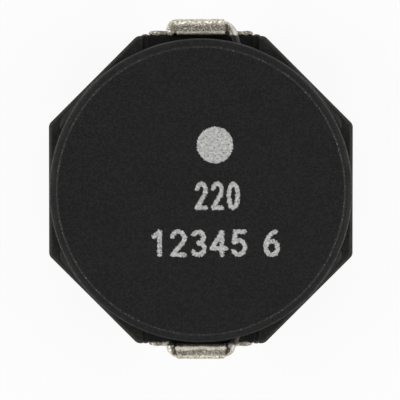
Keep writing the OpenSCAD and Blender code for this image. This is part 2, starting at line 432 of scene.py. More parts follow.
@dataclass(frozen=True)
class RingFerrite(Finish):
    """As-fired ferrite of the ring: olive grey, coarse in grain, paler along its edges from wear,
    with painted shade beside the flange and in the notches.
    """

    half_x: float = 6.07
    half_y: float = 6.15
    half_diagonal: float = 6.15
    top_z: float = 4.86
    low_z: float = 0.16
    notch_half: float = 2.38
    notch_z: float = 3.67
    bore_y: float = 5.0
    flange_shade_r2: tuple[float, float] = (41.5, 37.5)
    pore: Colour = (0.0038, 0.0037, 0.0028)
    grit: Colour = (0.0200, 0.0194, 0.0158)
    fleck: Colour = (0.060, 0.058, 0.050)
    rubbed_and_highlit: Colour = (0.038, 0.036, 0.031)
    painted_flange_shade: Colour = (0.0022, 0.0021, 0.0016)
    painted_notch_shade: Colour = (0.0009, 0.0008, 0.0006)

    def draw(self, graph: Graph) -> None:
        """Draws the node tree.

        Args:
            graph: Empty tree of the material.
        """
        mm = graph.place()
        x, y, z = graph.axes(mm)
        grain = graph.noise(mm, 8.5, 4.0, 0.6)
        patch = graph.noise(mm, 1.6, 3.0, 0.6)
        drawn = graph.noise(graph.place((9.0, 9.0, 0.45)), 1.0, 3.0, 0.6)
        tone = grain * 0.55 + patch * 0.25 + drawn * 0.20
        colour = graph.blend(tone.rise(0.38, 0.62), self.pore, self.grit)
        speck = graph.cells(mm, 5.5).rise(0.13, 0.05) * graph.noise(mm, 3.0).rise(0.5, 0.62)
        colour = graph.blend(speck * 0.7, colour, self.fleck)
        to_flat = (abs(x) - self.half_x).most(abs(y) - self.half_y)
        to_flat = to_flat.most((abs(x) + abs(y)) * 0.5**0.5 - self.half_diagonal)
        to_end = (z - self.top_z).most(self.low_z - z)
        rim = to_flat.rise(-0.17, -0.06) * to_end.rise(-0.17, -0.06)
        rub = rim * graph.noise(mm, 4.0, 4.0, 0.7).rise(0.38, 0.62)
        colour = graph.blend(rub * 0.28, colour, self.rubbed_and_highlit)
        # Painted shade: the ring's top darkens towards the flange's overhang, more in the darker
        # grain.
        flange_shade = z.rise(self.top_z - 0.06, self.top_z - 0.01)
        flange_shade = flange_shade * (x * x + y * y).rise(*self.flange_shade_r2)
        flange_shade = flange_shade * (0.30 + tone.rise(0.62, 0.44) * 0.55)
        colour = graph.blend(flange_shade, colour, self.painted_flange_shade)
        # Painted shade in the notches: floor and walls dark, darkest beside the notch's side walls.
        notch = abs(x).rise(self.notch_half + 0.08, self.notch_half)
        notch = notch * abs(y).rise(self.bore_y - 0.1, self.bore_y)
        notch = notch * z.rise(self.notch_z - 0.07, self.notch_z)
        notch = notch * z.rise(self.top_z - 0.06, self.top_z - 0.26)
        corner = abs(x).rise(1.95, 2.2) * 0.42 + 0.50
        graph.surface(
            Base_Color=graph.blend(notch * corner, colour, self.painted_notch_shade),
            Roughness=0.56 + tone * 0.22,
            Specular_IOR_Level=0.28,
            Normal=graph.relief(grain * 0.7 + drawn * 0.2 + speck * 0.3, 0.016, 0.9),
        )


@dataclass(frozen=True)
class EnamelledCopper(Finish):
    """Copper wire under amber enamel, tinned in the clips and scorched beside the tinned end, which
    is also painted shade where the leads pass under the flange's edge.
    """

    tinned_y: float = 6.23
    scorch_and_shade_y: float = 5.30
    deep_copper: Colour = (0.29, 0.078, 0.024)
    pale_copper: Colour = (0.50, 0.165, 0.052)
    scorch_and_shade: Colour = (0.0085, 0.0062, 0.0050)
    deep_tin: Colour = (0.40, 0.38, 0.33)
    pale_tin: Colour = (0.72, 0.69, 0.62)
    pitted: Colour = (0.10, 0.085, 0.065)
    enamel: Colour = (0.95, 0.62, 0.32)

    def draw(self, graph: Graph) -> None:
        """Draws the node tree.

        Args:
            graph: Empty tree of the material.
        """
        mm = graph.place()
        _, y, _ = graph.axes(mm)
        wander = graph.noise(mm, 3.0, 3.0, 0.6)
        along = abs(y) + (wander - 0.5) * 0.35
        tinned = along.rise(self.tinned_y - 0.06, self.tinned_y + 0.06)
        # Dark from the scorch start to short of the tinned end: scorched enamel, and painted shade
        # where the leads pass under the flange's edge.
        scorch_and_shade = along.rise(self.scorch_and_shade_y, self.tinned_y - 0.5)
        shade = graph.noise(mm, 2.2, 3.0, 0.6)
        copper = graph.blend(shade, self.deep_copper, self.pale_copper)
        copper = graph.blend(scorch_and_shade, copper, self.scorch_and_shade)
        tin = graph.blend(wander, self.deep_tin, self.pale_tin)
        scratch = graph.noise(mm, 16.0, 3.0, 0.7)
        pits = graph.noise(mm, 11.0, 2.0, 0.6).rise(0.56, 0.68) * tinned
        graph.surface(
            Base_Color=graph.blend(pits * 0.8, graph.blend(tinned, copper, tin), self.pitted),
            Metallic=graph.slide(tinned, 0.86 - scorch_and_shade * 0.76, 0.92),
            Roughness=graph.slide(tinned, 0.24 + scratch * 0.12, 0.28 + scratch * 0.26),
            Coat_Weight=0.7 - tinned.most(scorch_and_shade * 0.85) * 0.7,
            Coat_Roughness=0.12,
            Coat_Tint=(*self.enamel, 1.0),
            Normal=graph.relief(scratch * 0.5 + wander * tinned, 0.016, 0.8),
        )


@dataclass(frozen=True)
class SolderCoat(Finish):
    """Warm grey solder: satin on the strip, pitted round the fold, with stains, painted shade along
    the crown and painted highlights on the flanks towards the drum.
    """

    pit_from: float = 0.50
    fold_y: float = 6.51
    crown_z: float = 4.36
    low_z: float = 3.3
    edge_half: float = 1.05
    beside_y: float = 6.30
    streak_y: float = 6.40
    wing_z: float = 3.62
    arch_z: float = 4.1
    dark_metal: Colour = (0.43, 0.393, 0.315)
    bright_metal: Colour = (0.81, 0.765, 0.655)
    dark_satin: Colour = (0.56, 0.54, 0.49)
    bright_satin: Colour = (0.72, 0.70, 0.65)
    wear_and_painted_light: Colour = (0.155, 0.134, 0.100)
    lip: Colour = (0.94, 0.88, 0.745)
    stained_and_shaded: Colour = (0.020, 0.014, 0.008)

    def draw(self, graph: Graph) -> None:
        """Draws the node tree.

        Args:
            graph: Empty tree of the material.
        """
        mm = graph.place()
        x, y, z = graph.axes(mm)
        skin = graph.noise(mm, 2.6, 4.0, 0.6)
        crystal = graph.noise(mm, 9.0, 4.0, 0.65)
        drawn = graph.noise(graph.place((2.4, 2.4, 0.30)), 1.0, 3.0, 0.55)
        worked = z.rise(self.low_z - 0.25, self.low_z + 0.15)
        across = abs(y) - self.fold_y + (skin - 0.5) * 0.20
        front = y.rise(0.05, -0.05)
        blot = graph.noise(mm, 6.0, 3.0, 0.65).rise(0.44, 0.56)
        pits = graph.noise(mm, 10.0, 2.0, 0.6).rise(self.pit_from + 0.01, self.pit_from + 0.09)
        holes = graph.cells(mm, 6.5).rise(0.28, 0.12) * skin.rise(0.40, 0.56)
        # Painted shade: a darker band along the fold's crown, where it would mirror the dark
        # overhead, set nearer the drum at the back; scuff noise breaks it up.
        crown = across.near(front * 0.06 - 0.06, 0.22, 0.08)
        crown = crown * z.rise(self.crown_z - 0.06, self.crown_z + 0.02)
        crown_scuff_and_shade = crown * graph.noise(mm, 15.0, 3.0, 0.7).rise(0.32, 0.60) * 0.95
        wing = z.near(self.low_z + 0.2, 0.32, 0.2) * (0.10 + blot * 0.80)
        wear_and_painted_light = (pits * 0.62 + holes * 0.85).most(crown_scuff_and_shade).most(wing).least(1.0) * worked
        stain_and_shade = self._flux_and_shade(graph, mm, front)
        arch = z.rise(self.arch_z - 0.15, self.arch_z)
        # Painted highlight: a pale band on the fold's flank towards the drum and on the inner half
        # of each wing's roll, where the flange keeps the light off; low metallic there as well.
        fold_highlight = (across - front * 0.12).rise(-0.15, -0.22) * arch
        wing_highlight = abs(y).rise(self.beside_y, self.beside_y - 0.08)
        wing_highlight = wing_highlight * z.near(self.wing_z, 0.20, 0.12) * abs(x).rise(1.0, 1.1)
        lip = fold_highlight.most(wing_highlight * (1.0 - blot * 0.65)) * (1.0 - stain_and_shade)
        lip = lip * (0.55 + crystal.rise(0.42, 0.52) * 0.45)
        # The front fold's flank towards the drum is darkened with the same brown as the flux.
        inner_flank_dark = front * across.rise(-0.19, -0.24) * arch
        stain_and_shade = stain_and_shade.most(inner_flank_dark * 0.9)
        tone = (skin * 0.4 + crystal * 0.6).rise(0.38, 0.60)
        cast = graph.blend(tone, self.dark_metal, self.bright_metal)
        sheen = (skin * 0.5 + drawn * 0.5).rise(0.34, 0.66)
        satin = graph.blend(sheen, self.dark_satin, self.bright_satin)
        colour = graph.blend(wear_and_painted_light, graph.blend(worked, satin, cast), self.wear_and_painted_light)
        colour = graph.blend(lip, colour, self.lip)
        rough = graph.slide(worked, 0.30 + drawn * 0.16, 0.20 + crystal * 0.18)
        height = (skin * 0.6 + crystal * 0.3 - wear_and_painted_light * 0.4) * (worked * 0.8 + 0.2)
        graph.surface(
            Base_Color=graph.blend(stain_and_shade * 0.92, colour, self.stained_and_shaded),
            Metallic=graph.slide(lip, graph.slide(wear_and_painted_light.most(stain_and_shade), 0.82, 0.55), 0.10),
            Roughness=graph.slide(wear_and_painted_light, rough, 0.50),
            Normal=graph.relief(height, 0.050, 1.0),
        )

    def _flux_and_shade(self, graph: Graph, mm: Signal, front: Signal) -> Signal:
        """Flux burnt on beside the tongue and in a streak that leans away from the fold, both
        partly painted shade: deep between tongue and wire, and along the lead's shaded side.

        Args:
            graph: Tree that takes the nodes.
            mm: Coordinates in millimetres.
            front: Mask of the front end, where both sides are streaked.

        Returns:
            The mask of the stains and the painted shade.
        """
        x, y, z = graph.axes(mm)
        # Beside the tongue: burnt flux, and painted shade deep between tongue and wire.
        beside = abs(x).near(self.edge_half, 0.11, 0.04)
        beside = beside * abs(y).near(self.beside_y, 0.18, 0.09)
        beside = beside * z.rise(3.35, 3.6) * z.rise(4.32, 4.2)
        beside = beside * graph.noise(mm, 5.0, 3.0, 0.6).rise(0.34, 0.5)
        # Along the lead's side towards the tongue: burnt enamel, and painted shade of the lead's
        # shaded side.
        lean = (self.fold_y + 0.11 - abs(y)) * 0.25 + self.edge_half
        streak = abs(x).near(lean, 0.125, 0.050) * abs(y).near(self.streak_y, 0.33, 0.18)
        streak = streak * z.rise(3.8, 4.0) * x.rise(-0.05, 0.05).most(front)
        return beside.most(streak * graph.noise(mm, 7.0, 3.0, 0.6).rise(0.36, 0.52) * 0.9)


@dataclass(frozen=True)
class Epoxy(Finish):
    """Cured epoxy: cloudy grey-brown, soft gloss, dust in its skin."""

    clear: Colour = (0.0034, 0.0034, 0.0032)
    cloudy: Colour = (0.0140, 0.0136, 0.0128)
    dusty: Colour = (0.15, 0.145, 0.14)

    def draw(self, graph: Graph) -> None:
        """Draws the node tree.

        Args:
            graph: Empty tree of the material.
        """
        mm = graph.place()
        cloud = graph.noise(mm, 2.4, 4.0, 0.6)
        dust = graph.noise(mm, 14.0, 2.0, 0.6)
        colour = graph.blend(cloud.rise(0.34, 0.68), self.clear, self.cloudy)
        settled = dust.rise(0.60, 0.74) * cloud.rise(0.45, 0.6) * 0.28
        graph.surface(
            Base_Color=graph.blend(settled, colour, self.dusty),
            Roughness=0.34 + dust * 0.22,
            Specular_IOR_Level=0.20,
            Normal=graph.relief(cloud * 0.8 + dust * 0.2, 0.020, 0.8),
        )


@dataclass(frozen=True)
class ClipAdhesive(Finish):
    """Amber adhesive film between a clip and the ring."""

    deep: Colour = (0.022, 0.019, 0.014)
    pale: Colour = (0.115, 0.100, 0.070)

    def draw(self, graph: Graph) -> None:
        """Draws the node tree.

        Args:
            graph: Empty tree of the material.
        """
        mm = graph.place()
        cloud = graph.noise(mm, 3.0, 3.0, 0.6)
        graph.surface(
            Base_Color=graph.blend(cloud.rise(0.36, 0.66), self.deep, self.pale),
            Roughness=0.36 + cloud * 0.2,
            Normal=graph.relief(cloud, 0.010, 0.6),
        )


# ---------------------------------------------------------------- modelling bench


class Bench:
    """The operators that the pieces are shaped with. Pieces are shaped in millimetres."""

    @staticmethod
    def clear() -> None:
        """Leaves edit mode and deselects every object."""
        if bpy.context.mode != "OBJECT":
            bpy.ops.object.mode_set(mode="OBJECT")
        bpy.ops.object.select_all(action="DESELECT")

    @staticmethod
    def pick(piece: Piece) -> None:
        """Makes the piece the only selected object.

        Args:
            piece: The piece to work on.
        """
        Bench.clear()
        piece.select_set(True)
        bpy.context.view_layer.objects.active = piece

    @staticmethod
    def edit(piece: Piece) -> None:
        """Opens the piece in edit mode with nothing selected.

        Args:
            piece: The piece to work on.
        """
        Bench.pick(piece)
        bpy.ops.object.mode_set(mode="EDIT")
        bpy.ops.mesh.select_mode(type="VERT")
        bpy.ops.mesh.select_all(action="DESELECT")

    @staticmethod
    def select(kind: str, test: Callable[[Vector, Vector], bool]) -> None:
        """Selects part of the mesh in edit mode.

        Args:
            kind: VERT or EDGE.
            test: Takes a point and its normal, or an edge's middle and direction.

        Raises:
            ValueError: If nothing passes the test.
        """
        mesh = bpy.context.edit_object.data
        bpy.ops.mesh.select_mode(type=kind)
        bpy.ops.mesh.select_all(action="DESELECT")
        bpy.ops.object.mode_set(mode="OBJECT")
        points = [v.co.copy() for v in mesh.vertices]
        if kind == "VERT":
            for v in mesh.vertices:
                v.select = test(v.co, v.normal)
            found = any(v.select for v in mesh.vertices)
        else:
            for e in mesh.edges:
                a, b = (points[i] for i in e.vertices)
                e.select = test((a + b) / 2, (b - a).normalized())
            found = any(e.select for e in mesh.edges)
        bpy.ops.object.mode_set(mode="EDIT")
        if not found:
            raise ValueError(f"no {kind} was found to shape")

    @staticmethod
    def close(gap: float = 0.0) -> None:
        """Ends an edit: merges points closer than the gap and turns the faces outwards.

        Args:
            gap: Points closer than this are one; 0 merges none.
        """
        bpy.ops.mesh.select_all(action="SELECT")
        if gap:
            bpy.ops.mesh.remove_doubles(threshold=gap)
            bpy.ops.mesh.select_all(action="SELECT")
        bpy.ops.mesh.normals_make_consistent(inside=False)
        bpy.ops.object.mode_set(mode="OBJECT")

    @staticmethod
    def clean(piece: Piece, gap: float) -> None:
        """Merges points closer than the gap and drops what is left without area.

        Args:
            piece: The piece, in millimetres.
            gap: Points closer than this are one.
        """
        Bench.edit(piece)
        bpy.ops.mesh.select_all(action="SELECT")
        bpy.ops.mesh.remove_doubles(threshold=gap)
        bpy.ops.mesh.dissolve_degenerate(threshold=gap)
        Bench.close()

    @staticmethod
    def named(name: str) -> Piece:
        """Names the object that was just made.

        Args:
            name: Name for the object and its data.

        Returns:
            The object.
        """
        piece = bpy.context.object
        piece.name = piece.data.name = name
        return piece

    @staticmethod
    def modifier(piece: Piece, kind: str, **settings: object) -> None:
        """Adds one modifier to the piece and applies it.

        Args:
            piece: The piece to change.
            kind: Blender's modifier type.
            settings: Properties of the modifier.
        """
        Bench.pick(piece)
        made = piece.modifiers.new(kind.lower(), kind)
        for name, value in settings.items():
            setattr(made, name, value)
        bpy.ops.object.modifier_apply(modifier=made.name)

    @staticmethod
    def merge(piece: Piece, operation: str, tool: Piece) -> None:
        """Adds a tool piece to the piece or cuts it away, and removes the tool."""
        Bench.modifier(piece, "BOOLEAN", operation=operation, solver="EXACT", object=tool)
        bpy.data.objects.remove(tool, do_unlink=True)

    @staticmethod
    def block(name: str, middle: Point, size: Point) -> Piece:
        """Makes a block of a size round its middle.

        Args:
            name: Name of the new piece.
            middle: Its middle.
            size: Its size along each axis.

        Returns:
            The block.
        """
        Bench.clear()
        bpy.ops.mesh.primitive_cube_add(size=1.0, location=middle, scale=size)
        block = Bench.named(name)
        bpy.ops.object.transform_apply()
        return block

    @staticmethod
    def lathe(name: str, profile: Line, steps: int, arc: float = 360.0) -> Piece:
        """Turns a profile about Z.

        Args:
            name: Name of the new piece.
            profile: Points as radius and height; more than one, in order.
            steps: Divisions of the turn.
            arc: Angle of the turn in degrees, from the +X side.

        Returns:
            The piece, with its seam and poles closed.
        """
        Bench.clear()
        bpy.ops.mesh.primitive_plane_add(size=1.0, location=(0.0, 0.0, 0.0))
        piece = Bench.named(name)
        bpy.ops.object.mode_set(mode="EDIT")
        bpy.ops.mesh.select_all(action="SELECT")
        bpy.ops.mesh.merge(type="CENTER")
        bpy.ops.mesh.select_mode(type="VERT")
        bpy.ops.mesh.select_all(action="SELECT")
        bpy.ops.transform.translate(value=(profile[0][0], 0.0, profile[0][1]))
        for (r0, z0), (r1, z1) in zip(profile, profile[1:]):
            Bench.extrude((r1 - r0, 0.0, z1 - z0))
        bpy.ops.mesh.select_all(action="SELECT")
        bpy.ops.mesh.spin(
            steps=steps,
            angle=-math.radians(arc),
            center=(0.0, 0.0, 0.0),
            axis=(0.0, 0.0, 1.0),
            use_auto_merge=False,
        )
        Bench.close(SEAM_GAP)
        return piece

    @staticmethod
    def extrude(move: Point) -> None:
        """Draws out what is selected in edit mode."""
        bpy.ops.mesh.extrude_region_move(TRANSFORM_OT_translate={"value": move})

    @staticmethod
    def rod(name: str, line: Sequence[Spot], sides: int) -> Piece:
        """Draws a round rod along a line and makes it a mesh.

        Args:
            name: Name of the new piece.
            line: Points with the rod's radius at each.
            sides: Resolution of the round section, as the curve's bevel counts it.

        Returns:
            The rod, closed at both ends.
        """
        Bench.clear()
        bpy.ops.curve.primitive_bezier_curve_add(location=(0.0, 0.0, 0.0))
        curve = Bench.named(name).data
        curve.splines.clear()
        spline = curve.splines.new("POLY")
        spline.points.add(len(line) - 1)
        for spot, (x, y, z, radius) in zip(spline.points, line):
            spot.co = (x, y, z, 1.0)
            spot.radius = radius
        curve.dimensions = "3D"
        curve.twist_mode = "Z_UP"
        curve.bevel_depth = 1.0
        curve.bevel_resolution = sides
        curve.use_fill_caps = True
        Bench.pick(bpy.context.object)
        bpy.ops.object.convert(target="MESH")
        rod = bpy.context.object
        Bench.edit(rod)
        Bench.close(SEAM_GAP)
        return rod

    @staticmethod
    def soften(piece: Piece) -> None:
        """Rounds a piece off by dividing its faces twice."""
        Bench.modifier(piece, "SUBSURF", levels=2, render_levels=2)

    @staticmethod
    def lumps(piece: Piece, size: float, depth: float, low_z: float, full_z: float) -> None:
        """Makes the piece's skin uneven.

        Args:
            piece: The piece, in millimetres.
            size: Size of the lumps.
            depth: How far the highest stands above the lowest.
            low_z: Height up to which the skin stays even.
            full_z: Height from which it has the full depth.
        """
        grain = bpy.data.textures.new("lumps", "CLOUDS")
        grain.noise_scale = size
        grain.noise_depth = 2
        group = piece.vertex_groups.new(name="lumpy")
        for v in piece.data.vertices:
            share = (v.co.z - low_z) / (full_z - low_z)
            group.add([v.index], max(0.0, min(1.0, share)), "REPLACE")
        Bench.modifier(
            piece,
            "DISPLACE",
            texture=grain,
            texture_coords="LOCAL",
            strength=depth,
            mid_level=0.5,
            vertex_group=group.name,
        )
        piece.vertex_groups.clear()

    @staticmethod
    def join(pieces: Sequence[Piece]) -> Piece:
        """Joins pieces into the first one.

        Args:
            pieces: The pieces, the one to keep first.

        Returns:
            The first piece.
        """
        Bench.pick(pieces[0])
        for piece in pieces[1:]:
            piece.select_set(True)
        bpy.ops.object.join()
        return pieces[0]

    @staticmethod
    def copy(piece: Piece, name: str, scale: Point) -> Piece:
        """Copies a piece, with a mesh of its own, and mirrors it where the scale is -1.

        Args:
            piece: The piece to copy.
            name: Name of the copy.
            scale: 1 or -1 for each axis.

        Returns:
            The copy, with its faces outwards.
        """
        Bench.pick(piece)
        bpy.ops.object.duplicate()
        twin = Bench.named(name)
        twin.scale = scale
        bpy.ops.object.transform_apply()
        Bench.edit(twin)
        Bench.close()
        return twin

    @staticmethod
    def finish(piece: Piece, smooth_deg: float, weighted: bool = False) -> None:
        """Brings a shaped piece to metres at the origin and shades it.

        Args:
            piece: The piece, shaped in millimetres.
            smooth_deg: Edges sharper than this stay hard.
            weighted: Whether flat faces keep their own normal beside rounded edges.
        """
        Bench.pick(piece)
        piece.scale = (MM, MM, MM)
        bpy.ops.object.transform_apply()
        bpy.ops.object.shade_smooth_by_angle(angle=math.radians(smooth_deg))
        if weighted:
            Bench.modifier(piece, "WEIGHTED_NORMAL", keep_sharp=True, weight=50)
        Bench.clear()

    @staticmethod
    def fit(piece: Piece, finish: Finish, slot: str, node: str) -> None:
        """Dresses a finished piece and puts it on the frame in place of its CAD node.

        Args:
            piece: The piece, in metres at the origin.
            finish: Its finish.
            slot: Not used.
            node: The CAD node that it stands for.
        """
        finish.dress(piece)
        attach(piece, "root")
        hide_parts(node)


# ---------------------------------------------------------------- sub-assemblies


def arc(
    cx: float, cy: float, rx: float, ry: float, start: float, stop: float, count: int = 10
) -> Line:
    """Points along an elliptic arc.

    Args:
        cx, cy: Middle of the arc.
        rx, ry: Its radii.
        start, stop: Its angles in degrees.
        count: Steps from end to end.

    Returns:
        One point more than there are steps.
    """
    turns = [math.radians(start + (stop - start) * i / count) for i in range(count + 1)]
    return [(cx + rx * math.cos(t), cy + ry * math.sin(t)) for t in turns]


@dataclass(frozen=True)
class Row:
    """One row of plain figures: its text, middle, height, advance and breadth of figure."""

    text: str
    middle: tuple[float, float]
    cap: float
    advance: float
    breadth: float

    def spots(self) -> list[tuple[str, float]]:
        """Each figure with the middle of its cell along X; a space is narrower than a figure.

        Returns:
            Pairs of a figure and its place.
        """
        shares = [0.62 if sign == " " else 1.0 for sign in self.text]
        start = self.middle[0] - self.advance * sum(shares) / 2
        places = [sum(shares[:i]) + share / 2 for i, share in enumerate(shares)]
        return [(sign, start + self.advance * place) for sign, place in zip(self.text, places)]


@dataclass(frozen=True)
class Print:
    """Plain print on the wide flange: a dot, three figures and a count."""

    dot_at: tuple[float, float] = (0.56, 1.83)
    dot_r: float = 0.72
    stroke: float = 0.176
    rows: tuple[Row, ...] = (
        Row("220", (0.65, -0.18), 1.15, 0.635, 0.68),
        Row("12345 6", (0.56, -2.06), 1.10, 0.80, 1.0),
    )
    cell_middle: tuple[float, float] = (0.31, 0.5)
    reach: float = 0.45

    @staticmethod
    def figure(sign: str) -> list[Line]:
        """Strokes of one figure in a cell 0.62 wide and 1 high.

        Args:
            sign: A figure or a space.

        Returns:
            Its strokes, as points of the cell.
        """
        shapes: dict[str, list[Line]] = {
            "0": [arc(0.31, 0.5, 0.225, 0.415, 0, 360, 20)],
            "1": [[(0.15, 0.74), (0.36, 0.92), (0.36, 0.07)]],
            "2": [arc(0.31, 0.68, 0.22, 0.235, 165, -38) + [(0.09, 0.085), (0.54, 0.085)]],
            "3": [
                arc(0.30, 0.71, 0.19, 0.205, 155, -90),
                arc(0.30, 0.295, 0.22, 0.21, 90, -155),
            ],
            "4": [[(0.42, 0.07), (0.42, 0.91), (0.06, 0.31), (0.57, 0.31)]],
            "5": [
                [(0.51, 0.915), (0.17, 0.915), (0.13, 0.53)]
                + arc(0.30, 0.345, 0.225, 0.26, 135, -150)
            ],
            "6": [
                arc(0.31, 0.33, 0.215, 0.245, 0, 360, 16),
                arc(0.52, 0.38, 0.425, 0.54, 186, 100, 8),
            ],
            " ": [],
        }
        return shapes[sign]

    def strokes(self) -> list[Segment]:
        """All straight pieces of the figures, in millimetres on the flange.

        Returns:
            The two ends of each piece.
        """
        cell_x, cell_y = self.cell_middle
        pieces = []
        for row in self.rows:
            wide = row.cap * row.breadth
            for sign, x in row.spots():
                for line in self.figure(sign):
                    spots = [
                        (x + (px - cell_x) * wide, row.middle[1] + (py - cell_y) * row.cap)
                        for px, py in line
                    ]
                    pieces += [(*a, *b) for a, b in zip(spots, spots[1:])]
        return pieces

    def gap(self, x: float, y: float, lines: Sequence[Segment]) -> float:
        """Distance from a point on the flange to the print's edge.

        Args:
            x, y: The point in millimetres.
            lines: The straight pieces of the figures.

        Returns:
            The distance, below 0 inside the print and never above the reach.
        """
        edge = min(self.reach, math.hypot(x - self.dot_at[0], y - self.dot_at[1]) - self.dot_r)
        for ax, ay, bx, by in lines:
            dx, dy = bx - ax, by - ay
            px, py = x - ax, y - ay
            t = max(0.0, min(1.0, (px * dx + py * dy) / (dx * dx + dy * dy)))
            edge = min(edge, math.hypot(px - t * dx, py - t * dy) - self.stroke / 2)
        return edge

    def mark(self, piece: Piece, face_z: float) -> None:
        """Writes the distance to the print's edge, in millimetres, to each vertex.

        Args:
            piece: The drum, still in millimetres.
            face_z: Height of the face that takes the print.
        """
        layer = piece.data.attributes.new("print_edge", "FLOAT", "POINT")
        lines = self.strokes()
        for v in piece.data.vertices:
            on_face = v.co.z > face_z - TOUCH
            layer.data[v.index].value = self.gap(v.co.x, v.co.y, lines) if on_face else self.reach


@dataclass
class DrumCore:
    """The ferrite drum: bottom flange, post and the wide flange on top."""

    bottom_z: float = 0.26
    window_z: float = 1.06
    flange_z: float = 4.90
    top_z: float = 6.0
    base_r: float = 4.9
    post_r: float = 3.0
    rim_r: float = 6.05
    land_w: float = 0.19
    chamfer: float = 0.15
    draft: float = 0.045
    root_r: float = 0.06
    edge_round: float = 0.028
    steps: int = 256
    patch_half: float = 2.86
    patch_at: tuple[float, float] = (0.60, -0.02)
    patch_cells: int = 110
    inner_r: float = 5.0
    marks: Print = field(default_factory=Print)

    def profile(self) -> Line:
        """Outline of the half section, from the printed face down to the axis.

        Returns:
            Pairs of radius and height.
        """
        land = self.rim_r - self.land_w
        root = self.root_r
        fillet = arc(self.post_r + root, root, -root, -root, 90, 0, 3)
        return [
            (self.inner_r, self.top_z),
            (land - self.chamfer, self.top_z),
            (land, self.top_z - self.chamfer),
            (self.rim_r - self.draft, self.top_z - self.chamfer),
            (self.rim_r, self.flange_z),
            *[(r, self.flange_z - h) for r, h in fillet],
            *[(r, self.window_z + h) for r, h in reversed(fillet)],
            (self.base_r, self.window_z),
            (self.base_r, self.bottom_z + self.chamfer),
            (self.base_r - self.chamfer, self.bottom_z),
            (0.0, self.bottom_z),
        ]

    def _close_face(self) -> None:
        """Closes the printed face with a fine square grid, in edit mode."""
        bpy.ops.mesh.select_all(action="DESELECT")
        bpy.ops.mesh.primitive_grid_add(
            x_subdivisions=self.patch_cells,
            y_subdivisions=self.patch_cells,
            size=2 * self.patch_half,
            location=(*self.patch_at, self.top_z),
        )
        bpy.ops.mesh.select_mode(type="EDGE")
        bpy.ops.mesh.select_all(action="DESELECT")
        bpy.ops.mesh.select_non_manifold(
            extend=False,
            use_wire=False,
            use_boundary=True,
            use_multi_face=False,
            use_non_contiguous=False,
            use_verts=False,
        )
        bpy.ops.mesh.bridge_edge_loops()

    def build(self) -> list[Piece]:
        """Turns the drum, rounds its edges, closes its face and prints it.

        Returns:
            The drum.
        """
        profile = self.profile()
        rims = profile[1:5] + profile[-4:-1]
        drum = Bench.lathe("drum", profile, self.steps)

        def on_rim(middle: Vector, along: Vector) -> bool:
            """Whether an edge runs round one of the rims.

            Args:
                middle: Middle of the edge.
                along: Direction of the edge.

            Returns:
                True for an edge of a rim.
            """
            r, z = middle.xy.length, middle.z
            near = any(abs(r - rim_r) < TOUCH and abs(z - rim_z) < TOUCH for rim_r, rim_z in rims)
            return near and abs(along.z) < TOUCH

        Bench.edit(drum)
        Bench.select("EDGE", on_rim)
        bpy.ops.mesh.bevel(offset=self.edge_round, segments=3, affect="EDGES", clamp_overlap=True)
        self._close_face()
        Bench.close()
        self.marks.mark(drum, self.top_z)
        Bench.finish(drum, 35.0, weighted=True)
        Bench.fit(drum, DrumFerrite("ground ferrite"), "drum_ferrite", "drum_core")
        return [drum]


